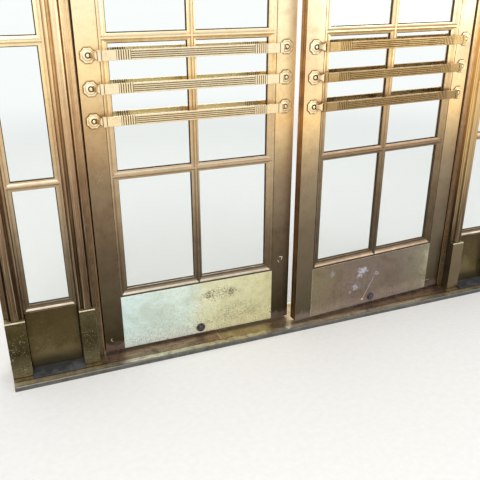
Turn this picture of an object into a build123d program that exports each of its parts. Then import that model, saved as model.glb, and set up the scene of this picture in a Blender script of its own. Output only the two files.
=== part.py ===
# Brass entrance: a pair of glazed pivot leaves with guard bars, between moulded jambs and sidelights.
# Millimetres. X runs along the facade, the street side faces -Y, Z is up.
# The origin is the middle of the threshold's underside, and Y = 0 is the middle of the closed leaves.
import os
from math import cos, radians, sin

from build123d import *

# Leaves
leaf_width = 914.0
leaf_height = 2032.0
leaf_thickness = 44.0
stile_width = 89.0
top_rail_height = 127.0
bottom_rail_height = 263.0
bottom_rail_recess = 2.0
kick_plate_thickness = 3.0
kick_plate_bevel = 1.0
seal_groove_width = 4.0
seal_groove_depth = 3.0

# Glazing: a moulded border and glazing bars, with panes in rows and columns
pane_rows = 3
pane_columns = 2
border_width = 34.0
border_bead_width = 9.0
glazing_bar_width = 34.0
bar_ridge_width = 6.0
glass_thickness = 6.0
glass_seat_depth = 16.0
quirk = 3.0
quirk_depth = 2.5

# A hollow moulding from the glass to the face: share of its width, then share of its height
moulding_shape = ((0.0, 0.25), (0.38, 0.36), (0.68, 0.56), (0.86, 0.82), (1.0, 1.0))

# Pivots: the leaf turns on a floor spindle and a top pin, set in from a rounded heel
pivot_setback = 60.0
spindle_radius = 14.0
spindle_engagement = 10.0
top_pin_radius = 10.0
top_pin_engagement = 18.0
pin_clearance = 0.3
right_leaf_ajar = 4.5

# Running gaps
meeting_gap = 8.0
heel_gap = 6.0
head_gap = 6.0
leaf_floor_gap = 13.0

# Guard bars across both faces of each leaf
guard_bar_count = 3
lowest_bar_height = 1048.0
guard_bar_pitch = 123.0
guard_bar_height = 38.0
guard_bar_thickness = 12.0
guard_bar_reach = 38.0
guard_bar_edge = 1.0
flute_count = 4
flute_radius = 2.2
collar_length = 13.0
collar_lip = 1.0
collar_groove_length = 3.0
collar_groove_depth = 2.0
plain_end_length = 54.0
reed_count = 6
reed_pitch = 9.2
reed_bevel = 2.2

# Rosettes that carry the guard bars: a plate with hollowed sides, a dome with a button, a flared neck
rosette_width = 57.0
rosette_inset = 46.0
rosette_plate = 4.5
rosette_edge = 1.0
rosette_side_hollow = 1.4
rosette_corner = 2.5
dome_radius = 21.0
dome_rise = 3.5
ring_radius = 11.5
ring_slope = 0.8
ring_depth = 3.0
button_radius = 6.5
button_rise = 2.5
button_crown = 1.5
neck_length = 31.0
neck_start = 9.0
neck_root_height = 17.0
neck_root_thickness = 11.0
neck_end_thickness = 7.0
neck_bevel = 2.5

# Floor lock in each kick plate
lock_radius = 21.0
lock_thickness = 3.0
lock_plug_radius = 12.0
lock_plug_thickness = 3.0
lock_height = 30.0

# Threshold and the covers over the floor pivots
threshold_height = 23.0
threshold_half_depth = 132.0
nosing_width = 32.0
nosing_fall = 2.0
nosing_bevel = 3.0
cover_length = 540.0
cover_thickness = 5.0
cover_rise = 1.0
cover_margin = 4.0

# Jambs, mullions and head: plain posts with a moulded casing on each face
post_half_depth = 24.0
reveal_strip = 27.0
strip_groove_count = 4
strip_groove_radius = 1.6
casing_width = 67.0
wall_margin = 15.0

# Casing, from the sidelight's side to the leaf's side: bead, hollow, crowned band, hollow, bead
side_bead_width = 12.0
side_bead_step = 18.0
side_hollow_width = 12.0
band_step = 34.0
band_crown = 4.0
band_lip = 2.0
leaf_hollow_width = 8.0
leaf_bead_width = 8.0
leaf_bead_step = 14.0
bead_quirk_depth = 2.0
hollow_sink = 2.5

# Plinths
plinth_drop = 7.0
plinth_thickness = 46.0
plinth_bevel = 4.0

# Sidelights
sidelight_width = 222.0
sidelight_border = 26.0
sidelight_half_depth = 18.0
panel_half_thickness = 14.0
panel_quirk = 4.0
sill_height = 6.0
sill_half_depth = 96.0

# Places that follow from the sizes
half_leaf = leaf_thickness / 2
heel_radius = pivot_setback
meeting_edge = meeting_gap / 2
hinge_edge = meeting_edge + leaf_width
pivot_x = hinge_edge - pivot_setback
leaf_bottom = threshold_height + leaf_floor_gap
leaf_top = leaf_bottom + leaf_height
glazing_bottom = leaf_bottom + bottom_rail_height
glazing_top = leaf_top - top_rail_height
strip_edge = hinge_edge + heel_gap
mullion_inner = strip_edge + reveal_strip
mullion_outer = mullion_inner + casing_width
jamb_inner = mullion_outer + sidelight_width
frame_half_width = jamb_inner + casing_width + wall_margin
head_bottom = leaf_top + head_gap
head_casing_bottom = head_bottom + reveal_strip
head_top = head_casing_bottom + casing_width
plinth_top = glazing_bottom - plinth_drop
panel_bottom = threshold_height + sill_height
bar_face = half_leaf + guard_bar_reach
bar_back = bar_face - guard_bar_thickness

nodes = {}


def block(x_range, y_range, z_range):
    """A box between two corners."""
    low = (x_range[0], y_range[0], z_range[0])
    size = (x_range[1] - x_range[0], y_range[1] - y_range[0], z_range[1] - z_range[0])
    return Pos(*low) * Box(*size, align=(Align.MIN, Align.MIN, Align.MIN))


def both_faces(shape):
    """A piece on the street face and its copy on the inner face."""
    return [shape, mirror(shape, about=Plane.XZ)]


def other_side(shapes):
    """Copies of left-hand pieces for the right-hand side."""
    return [mirror(shape, about=Plane.YZ) for shape in shapes]


def add_pair(name, shapes):
    """One node on the left and its mirror image on the right."""
    nodes["left_" + name] = shapes
    nodes["right_" + name] = other_side(shapes)


def pane_cut(x_range, z_range, near, far):
    """The space over one pane between two depths. Each depth comes with how far it spreads on each side."""
    outlines = []
    for depth, left, right, down, up in (near, far):
        width = x_range[1] - x_range[0] + left + right
        height = z_range[1] - z_range[0] + down + up
        centre = (sum(x_range) / 2 + (right - left) / 2, -depth, sum(z_range) / 2 + (up - down) / 2)
        outlines.append(Plane(origin=centre, z_dir=(0, -1, 0), x_dir=(1, 0, 0)) * Rectangle(width, height))
    return loft(outlines)


def glazing(x_range, z_range, half_depth, side_border, rows, columns, row_range):
    """A moulded border and glazing bars cut from one slab, and the panes that fill it."""
    grid = block(x_range, (-half_depth, half_depth), z_range)
    rim = block((x_range[0] + quirk, x_range[1] - quirk), (-half_depth, half_depth),
                (z_range[0] + quirk, z_range[1] - quirk))
    quirk_space = block(x_range, (-half_depth, -half_depth + quirk_depth), z_range)
    grid -= both_faces((grid - rim) & quirk_space)
    pane_width = (x_range[1] - x_range[0] - 2 * side_border - (columns - 1) * glazing_bar_width) / columns
    pane_height = (row_range[1] - row_range[0] - 2 * border_width - (rows - 1) * glazing_bar_width) / rows
    bar_slope = (glazing_bar_width - bar_ridge_width) / 2
    side_slope = side_border - border_bead_width
    end_slope = border_width - border_bead_width
    seat = glass_seat_depth / 2
    panes = []
    for column in range(columns):
        left = x_range[0] + side_border + column * (pane_width + glazing_bar_width)
        for row in range(rows):
            bottom = row_range[0] + border_width + row * (pane_height + glazing_bar_width)
            across = (left, left + pane_width)
            up = (bottom, bottom + pane_height)
            slopes = (side_slope if column == 0 else bar_slope,
                      side_slope if column == columns - 1 else bar_slope,
                      end_slope if row == 0 else bar_slope,
                      end_slope if row == rows - 1 else bar_slope)
            grid -= block(across, (-half_depth, half_depth), up)
            stages = [[seat + rise * (half_depth - seat)] + [out * slope for slope in slopes]
                      for out, rise in moulding_shape]
            for near, far in zip(stages, stages[1:]):
                grid -= both_faces(pane_cut(across, up, near, far))
            panes.append(block(across, (-glass_thickness / 2, glass_thickness / 2), up))
    return grid, panes


def bar_block(start, end, inset=0.0):
    """A length of guard bar at height zero, thinner all round by the inset."""
    half_height = guard_bar_height / 2 - inset
    return block((start, end), (-bar_face + inset, -bar_back - inset), (-half_height, half_height))


def softened(shape, bevel):
    """A length of bar with its long edges bevelled."""
    return chamfer(shape.edges().filter_by(Axis.X), bevel)


def bar_end():
    """One end of a guard bar: collar, groove, plain part, then upright reeds on all four sides."""
    half_collar = guard_bar_height / 2 + collar_lip
    collar = block((0, collar_length), (-bar_face, -bar_back + collar_lip), (-half_collar, half_collar))
    plain_start = collar_length + collar_groove_length
    plain_stop = plain_start + plain_end_length
    reed = bar_block(0, reed_pitch)
    reed = chamfer(reed.faces().filter_by(Axis.X).edges(), reed_bevel)
    reeds = [Pos(plain_stop + index * reed_pitch, 0, 0) * reed for index in range(reed_count)]
    return (softened(collar, guard_bar_edge) + bar_block(collar_length, plain_start, collar_groove_depth)
            + softened(bar_block(plain_start, plain_stop), guard_bar_edge) + reeds)


def guard_bar(start_x, end_x):
    """A flat bar at height zero, with long flutes between its two reeded ends."""
    end_length = collar_length + collar_groove_length + plain_end_length + reed_count * reed_pitch
    flutes_start = start_x + end_length
    flutes_end = end_x - end_length
    middle = softened(bar_block(flutes_start, flutes_end), guard_bar_edge)
    flute_pitch = guard_bar_height / (flute_count + 1)
    flute = Cylinder(flute_radius, flutes_end - flutes_start, rotation=(0, 90, 0))
    for index in range(flute_count):
        height = (index + 1) * flute_pitch - guard_bar_height / 2
        middle -= Pos((flutes_start + flutes_end) / 2, -bar_face, height) * flute
    end = bar_end()
    return middle + Pos(start_x, 0, 0) * end + Pos(end_x, 0, 0) * mirror(end, about=Plane.YZ)


def rosette_plate_shape():
    """The eight-sided plate, each side hollowed a little and each corner rounded."""
    corner_radius = rosette_width / 2 / cos(radians(22.5))
    side_radius = rosette_width / 2 - rosette_side_hollow
    sides = []
    for index in range(8):
        angles = [radians(45 * index + turn) for turn in (-22.5, 0, 22.5)]
        first, middle, last = [(radius * cos(angle), radius * sin(angle)) for radius, angle
                               in zip((corner_radius, side_radius, corner_radius), angles)]
        sides.append(ThreePointArc(first, middle, last))
    outline = fillet(make_face(sides).vertices(), rosette_corner)
    facing = Plane(origin=(0, -half_leaf, 0), z_dir=(0, -1, 0), x_dir=(1, 0, 0))
    plate = extrude(facing * outline, rosette_plate)
    return chamfer(plate.faces().sort_by(Axis.Y)[0].edges(), rosette_edge)


def rosette_dome():
    """The dome on the plate, with a ring groove round a small button."""
    plate_face = -half_leaf - rosette_plate
    crest = plate_face - dome_rise
    ring_floor = crest + ring_depth
    button_top = crest - button_rise
    crown = button_top - button_crown
    shoulder = (dome_radius * 0.6 + ring_radius * 0.4, plate_face - dome_rise * 0.75)
    outline = [Line((0, -half_leaf), (dome_radius, -half_leaf)),
               Line((dome_radius, -half_leaf), (dome_radius, plate_face)),
               ThreePointArc((dome_radius, plate_face), shoulder, (ring_radius, crest)),
               Line((ring_radius, crest), (ring_radius - ring_slope, ring_floor)),
               Line((ring_radius - ring_slope, ring_floor), (button_radius, ring_floor)),
               Line((button_radius, ring_floor), (button_radius, button_top)),
               Line((button_radius, button_top), (button_radius * 0.75, button_top - button_crown * 0.7)),
               Line((button_radius * 0.75, button_top - button_crown * 0.7), (button_radius * 0.35, crown)),
               Line((button_radius * 0.35, crown), (0, crown)),
               Line((0, crown), (0, -half_leaf))]
    return revolve(make_face(outline), axis=Axis.Y)


def neck():
    """The arm that rises from the dome and flares to the end of the bar, in +X at height zero."""
    root_back = half_leaf + rosette_plate / 2
    outlines = []
    for share in (0, 0.3, 0.55, 0.75, 0.9, 1):
        along = neck_start + share * (neck_length - neck_start)
        back = root_back + (bar_back - root_back) * sin(radians(90 * share))
        half_thickness = (neck_root_thickness + (neck_end_thickness - neck_root_thickness) * share) / 2
        half_height = (neck_root_height + (guard_bar_height - neck_root_height) * share ** 2) / 2
        flat_y = half_thickness - neck_bevel
        flat_z = half_height - neck_bevel
        upper = [(half_thickness, flat_z), (flat_y, half_height),
                 (-flat_y, half_height), (-half_thickness, flat_z)]
        lower = [(y, -z) for y, z in reversed(upper)]
        across = Plane(origin=(along, -back - half_thickness, 0), z_dir=(1, 0, 0), x_dir=(0, 1, 0))
        outlines.append(across * make_face(Polyline(*upper, *lower, close=True)))
    return loft(outlines, ruled=True)


def rosette():
    """A rosette at height zero, whose neck runs in +X to the end of the bar."""
    return rosette_plate_shape() + rosette_dome() + neck()


def casing_outline():
    """Bead, hollow, crowned band, hollow and bead, drawn from the sidelight's side to the leaf's side."""
    side_crown = side_bead_step + side_bead_width / 2
    leaf_crown = leaf_bead_step + leaf_bead_width / 2
    band_start = side_bead_width + side_hollow_width
    bead_start = casing_width - leaf_bead_width
    band_end = bead_start - leaf_hollow_width
    lip = band_step - band_lip
    side_quirk = (side_bead_width, side_bead_step - bead_quirk_depth)
    leaf_quirk = (bead_start, leaf_bead_step - bead_quirk_depth)
    side_middle = ((side_quirk[0] + band_start) / 2 + hollow_sink, (side_quirk[1] + lip) / 2 - hollow_sink)
    leaf_middle = ((leaf_quirk[0] + band_end) / 2 - hollow_sink, (leaf_quirk[1] + lip) / 2 - hollow_sink)
    return make_face([
        Line((0, 0), (0, side_bead_step)),
        ThreePointArc((0, side_bead_step), (side_bead_width / 2, side_crown),
                      (side_bead_width, side_bead_step)),
        Line((side_bead_width, side_bead_step), side_quirk),
        ThreePointArc(side_quirk, side_middle, (band_start, lip)),
        Line((band_start, lip), (band_start, band_step)),
        ThreePointArc((band_start, band_step), ((band_start + band_end) / 2, band_step + band_crown),
                      (band_end, band_step)),
        Line((band_end, band_step), (band_end, lip)),
        ThreePointArc((band_end, lip), leaf_middle, leaf_quirk),
        Line(leaf_quirk, (bead_start, leaf_bead_step)),
        ThreePointArc((bead_start, leaf_bead_step), ((bead_start + casing_width) / 2, leaf_crown),
                      (casing_width, leaf_bead_step)),
        Line((casing_width, leaf_bead_step), (casing_width, 0)),
        Line((casing_width, 0), (0, 0))])


def upright_casing(side_x, direction):
    """A casing on the street face of a post, from the sidelight's side in the direction given."""
    standing = Plane(origin=(side_x, -post_half_depth, plinth_top),
                     x_dir=(direction, 0, 0), z_dir=(0, 0, -direction))
    return extrude(standing * casing_outline(), -direction * (head_casing_bottom - plinth_top))


def head_casing():
    """The head's casing, from end to end, its narrow bead towards the leaves."""
    lying = Plane(origin=(frame_half_width, -post_half_depth, head_top), x_dir=(0, 0, -1), z_dir=(-1, 0, 0))
    return extrude(lying * casing_outline(), 2 * frame_half_width)


def plinth(start_x, end_x):
    """The plain block at the foot of a casing, with its top edge bevelled."""
    front = -post_half_depth - plinth_thickness
    shape = block((start_x, end_x), (front, -post_half_depth), (threshold_height, plinth_top))
    top_front = shape.faces().sort_by(Axis.Z)[-1].edges().sort_by(Axis.Y)[0]
    return chamfer(top_front, plinth_bevel)


def hinge_stile():
    """The pivot stile, with its heel rounded about the pivot line."""
    depth = (-half_leaf, half_leaf)
    height = (leaf_bottom, leaf_top)
    outline = block((-hinge_edge, -hinge_edge + stile_width), depth, height)
    heel = Pos(-pivot_x, 0, (leaf_bottom + leaf_top) / 2) * Cylinder(heel_radius, leaf_height)
    inner_part = block((-pivot_x, -hinge_edge + stile_width), depth, height)
    return (outline & heel) + inner_part


def meeting_stile():
    """The stile at the middle of the pair, with a groove for a seal down its edge."""
    height = (leaf_bottom, leaf_top)
    stile = block((-meeting_edge - stile_width, -meeting_edge), (-half_leaf, half_leaf), height)
    return stile - block((-meeting_edge - seal_groove_depth, -meeting_edge),
                         (-seal_groove_width / 2, seal_groove_width / 2), height)


def kick_plate(across, front):
    """The plate on the street face of the bottom rail, bevelled round its face."""
    plate = block(across, (front, front + kick_plate_thickness), (leaf_bottom, glazing_bottom))
    return chamfer(plate.faces().sort_by(Axis.Y)[0].edges(), kick_plate_bevel)


def leaf_pieces():
    """Every piece of the left leaf, closed."""
    across = (-hinge_edge + stile_width, -meeting_edge - stile_width)
    rail_half = half_leaf - bottom_rail_recess
    plate_front = -rail_half - kick_plate_thickness
    pieces = {"hinge_stile": [hinge_stile()], "meeting_stile": [meeting_stile()]}
    pieces["top_rail"] = [block(across, (-half_leaf, half_leaf), (glazing_top, leaf_top))]
    pieces["bottom_rail"] = [block(across, (-rail_half, rail_half), (leaf_bottom, glazing_bottom))]
    pieces["kick_plates"] = both_faces(kick_plate(across, plate_front))
    grid, panes = glazing(across, (glazing_bottom, glazing_top), half_leaf, border_width,
                          pane_rows, pane_columns, (glazing_bottom, glazing_top))
    pieces["glazing_bars"] = [grid]
    pieces["glass"] = panes
    first = -hinge_edge + rosette_inset
    last = -meeting_edge - rosette_inset
    bars = both_faces(guard_bar(first + neck_length, last - neck_length))
    outer_rosette = rosette()
    carriers = both_faces(Pos(first, 0, 0) * outer_rosette)
    carriers += both_faces(Pos(last, 0, 0) * mirror(outer_rosette, about=Plane.YZ))
    heights = [leaf_bottom + lowest_bar_height + index * guard_bar_pitch
               for index in range(guard_bar_count)]
    pieces["guard_bars"] = [Pos(0, 0, height) * shape for height in heights for shape in bars]
    pieces["rosettes"] = [Pos(0, 0, height) * shape for height in heights for shape in carriers]
    lock_plane = Plane(origin=(sum(across) / 2, plate_front, leaf_bottom + lock_height),
                       z_dir=(0, -1, 0), x_dir=(1, 0, 0))
    lock = extrude(lock_plane * Circle(lock_radius), lock_thickness)
    lock += extrude(lock_plane * Circle(lock_plug_radius), lock_thickness + lock_plug_thickness)
    pieces["floor_lock"] = both_faces(lock)
    spindle = Cylinder(spindle_radius, spindle_engagement + leaf_floor_gap,
                       align=(Align.CENTER, Align.CENTER, Align.MAX))
    pin = Cylinder(top_pin_radius, top_pin_engagement + head_gap,
                   align=(Align.CENTER, Align.CENTER, Align.MIN))
    pieces["pivots"] = [Pos(-pivot_x, 0, leaf_bottom) * spindle, Pos(-pivot_x, 0, leaf_top) * pin]
    return pieces


def pivot_sockets(radius, depth, mouth_z, upward):
    """The bores in the frame that the pivots turn in."""
    align = Align.MIN if upward else Align.MAX
    bore = Cylinder(radius + pin_clearance, depth + pin_clearance,
                    align=(Align.CENTER, Align.CENTER, align))
    return [Pos(side * pivot_x, 0, mouth_z) * bore for side in (-1, 1)]


def build_threshold():
    """A saddle with a worn nosing on both edges, recessed for the pivot covers."""
    flat_half = threshold_half_depth - nosing_width
    edge_height = threshold_height - nosing_fall
    half = [(flat_half, threshold_height), (threshold_half_depth - nosing_bevel, edge_height),
            (threshold_half_depth, edge_height - nosing_bevel), (threshold_half_depth, 0)]
    points = half + [(-y, z) for y, z in reversed(half)]
    section = Plane(origin=(-frame_half_width, 0, 0), x_dir=(0, 1, 0), z_dir=(1, 0, 0))
    saddle = extrude(section * make_face(Polyline(*points, close=True)), 2 * frame_half_width)
    cover_half = flat_half - cover_margin
    cover_bottom = threshold_height + cover_rise - cover_thickness
    cover_range = (-hinge_edge, -hinge_edge + cover_length)
    recess = block(cover_range, (-cover_half, cover_half), (cover_bottom, threshold_height))
    cover = block(cover_range, (-cover_half, cover_half), (cover_bottom, threshold_height + cover_rise))
    sockets = pivot_sockets(spindle_radius, spindle_engagement, threshold_height, False)
    nodes["threshold"] = [saddle - [recess] - other_side([recess]) - sockets]
    hole = Pos(-pivot_x, 0, cover_bottom) * Cylinder(spindle_radius + pin_clearance, cover_thickness,
                                                   align=(Align.CENTER, Align.CENTER, Align.MIN))
    add_pair("pivot_cover", [cover - hole])


def build_frame():
    """Posts, head, casings and plinths."""
    depth = (-post_half_depth, post_half_depth)
    post = block((-mullion_outer, -strip_edge), depth, (threshold_height, head_bottom))
    for index in range(strip_groove_count):
        groove_x = -strip_edge - (index + 1) * reveal_strip / (strip_groove_count + 1)
        groove = Pos(groove_x, -post_half_depth, (threshold_height + head_bottom) / 2)
        post -= both_faces(groove * Cylinder(strip_groove_radius, head_bottom - threshold_height))
    add_pair("mullion", [post])
    add_pair("outer_jamb", [block((-frame_half_width, -jamb_inner), depth, (threshold_height, head_bottom))])
    head = block((-frame_half_width, frame_half_width), depth, (head_bottom, head_top))
    nodes["frame_head"] = [head - pivot_sockets(top_pin_radius, top_pin_engagement, head_bottom, True)]
    nodes["head_casings"] = both_faces(head_casing())
    mullion_fronts = both_faces(upright_casing(-mullion_outer, 1))
    jamb_fronts = both_faces(upright_casing(-jamb_inner, -1))
    nodes["mullion_casings"] = mullion_fronts + other_side(mullion_fronts)
    nodes["jamb_casings"] = jamb_fronts + other_side(jamb_fronts)
    blocks = both_faces(plinth(-mullion_outer, -mullion_inner))
    blocks += both_faces(plinth(-frame_half_width, -jamb_inner))
    nodes["plinth_blocks"] = blocks + other_side(blocks)


def build_sidelights():
    """Between mullion and outer jamb: a ledge, a plain panel, and a glazed light above it."""
    across = (-jamb_inner, -mullion_outer)
    ledge = block(across, (-sill_half_depth, sill_half_depth), (threshold_height, panel_bottom))
    add_pair("sidelight_ledge", [ledge])
    height = (panel_bottom, glazing_bottom)
    panel = block(across, (-panel_half_thickness, panel_half_thickness), height)
    quirk_range = (-panel_half_thickness, -panel_half_thickness + panel_quirk)
    for edge in (-jamb_inner, -mullion_outer - panel_quirk):
        panel -= both_faces(block((edge, edge + panel_quirk), quirk_range, height))
    add_pair("sidelight_panel", [panel])
    grid, panes = glazing(across, (glazing_bottom, head_bottom), sidelight_half_depth, sidelight_border,
                          pane_rows, 1, (glazing_bottom, glazing_top))
    add_pair("sidelight_glazing_bars", [grid])
    add_pair("sidelight_glass", panes)


def build_leaves():
    """The left leaf closed, and the right leaf turned a little outwards."""
    hinge_line = Axis((pivot_x, 0, 0), (0, 0, 1))
    for name, shapes in leaf_pieces().items():
        nodes["left_leaf_" + name] = shapes
        nodes["right_leaf_" + name] = [shape.rotate(hinge_line, right_leaf_ajar)
                                       for shape in other_side(shapes)]


def write_parts():
    """One file for each named piece."""
    os.makedirs("parts", exist_ok=True)
    for name, shapes in nodes.items():
        solids = [solid for shape in shapes for solid in shape.solids()]
        export_step(solids[0] if len(solids) == 1 else Compound(children=solids), "parts/" + name + ".step")


build_threshold()
build_frame()
build_sidelights()
build_leaves()
write_parts()
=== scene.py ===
# Looks of the brass entrance: patina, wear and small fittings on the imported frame.
# Metres. The street side faces -Y and Z is up.
from math import asin, copysign, cos, hypot, pi, radians, sin

import bmesh
import bpy
from mathutils import Matrix, Vector


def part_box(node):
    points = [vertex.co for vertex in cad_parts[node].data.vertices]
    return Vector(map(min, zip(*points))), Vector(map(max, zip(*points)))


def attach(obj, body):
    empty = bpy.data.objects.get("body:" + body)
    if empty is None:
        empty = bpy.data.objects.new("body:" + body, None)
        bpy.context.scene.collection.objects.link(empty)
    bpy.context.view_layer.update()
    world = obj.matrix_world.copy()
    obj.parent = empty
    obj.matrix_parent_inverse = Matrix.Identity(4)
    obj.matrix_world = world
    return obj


# The camera of the photograph
CAMERA_PLACE = (-1.2365, -2.4564, 1.5910)
CAMERA_TURN = 21.459
CAMERA_DIP = 23.992
CAMERA_ROLL = -0.169
LENS = 46.2055
SHIFT = (0.0087, 0.0260)

# How the right leaf stands at rest
PIVOT_X = 0.858
LEAF_AJAR = 4.5

# Panes
PANE_ROWS = 3
LEAF_PANE_COLUMNS = 2
BAR_WIDTH = 0.034
HALF_GLASS = 0.003

# Seals: a woven pile on a thin backing
GROOVE_SEAL_HALF = 0.0019
GROOVE_DEPTH = 0.003
PILE_STAND = 0.0006
PILE_STEP = 0.012
PILE_SWAY = 0.0003
SWAY_TURN = 2.4
# The backing's share of a seal's depth, and the pile's width at its foot and crest as shares of the backing's
BACKING_DEPTH = 0.3
PILE_FOOT = 0.75
PILE_CREST = 0.4
# The heel seals stand on the post near its two faces, 5 mm or more from the rounded heel at every angle
HEEL_SEAL_HALF = 0.0017
HEEL_SEAL_REACH = 0.0040
HEEL_SEAL_PLACE = 0.0204

# Glazing compound: how far it reaches over the pane and up the bar
COMPOUND_REACH = 0.0034
COMPOUND_RISE = 0.0042
COMPOUND_LIFT = 0.00005

# Screws in the pivot covers and the cores of the floor locks
SCREW_RADIUS = 0.0046
SCREW_SLOT = 0.0012
SCREW_HEIGHT = 0.0006
SCREW_MARGIN = 0.014
SCREWS_ALONG = 4
SLOT_TURN = (0.9, 0.5)
# A screw half's section from its foot up: shares of its width and height
SCREW_SECTION = ((1.0, 0.0), (1.0, 0.5), (0.82, 1.0))
CORE_RADIUS = 0.0088
CORE_HEIGHT = 0.0008
KEYWAY_HALF = (0.0009, 0.0042)
ROUND_STEPS = 24

# How far from the middle the threshold's rolled edge starts, and how far in from a pivot cover's inner end
# its rubbed line lies
ROLLED_EDGE = 0.125
COVER_LINE = 0.004

# Where, along X, the part of the frame to the right of the leaves begins
RIGHT_OF_LEAVES = (0.90, 0.94)

# The floor's half size, how far out it fades into the white surroundings, and how bright it is there
FLOOR_REACH = 90.0
FLOOR_FADE = (2.5, 7.0)
FLOOR_SEEN = 0.95

# The world's strength as light on matt surfaces, and as seen plainly, in metal and through glass
WORLD_LIGHT = 0.80
WORLD_SEEN = 1.0

# Lamps: place, what it looks at, size, power and colour
LAMPS = {
    "key_lamp": ((-2.2, -3.6, 3.6), (0, 0, 0.9), (2.4, 2.0), 120, (1.0, 0.97, 0.92)),
    "fill_lamp": ((3.2, -3.0, 2.2), (0, 0, 0.9), (2.0, 2.4), 42, (0.94, 0.97, 1.0)),
    "back_lamp": ((0.6, 3.4, 3.4), (0, 0, 1.0), (2.6, 2.0), 50, (1.0, 1.0, 1.0)),
}

# The height that the metals' colours span, the span in which nearly all of a noise's values lie, and the
# cosines between softened and true normal on flat faces and on sharp edges
COLOUR_HEIGHT = 2.2
NOISE_SPAN = (0.3, 0.7)
EDGE_SPAN = (0.99, 0.85)


def paint(red, green, blue):
    """A colour as seen on a screen, 0 to 255, as the linear colour that a shader takes."""
    levels = [value / 255 for value in (red, green, blue)]
    return tuple(v / 12.92 if v <= 0.04045 else ((v + 0.055) / 1.055) ** 2.4 for v in levels) + (1.0,)


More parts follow.
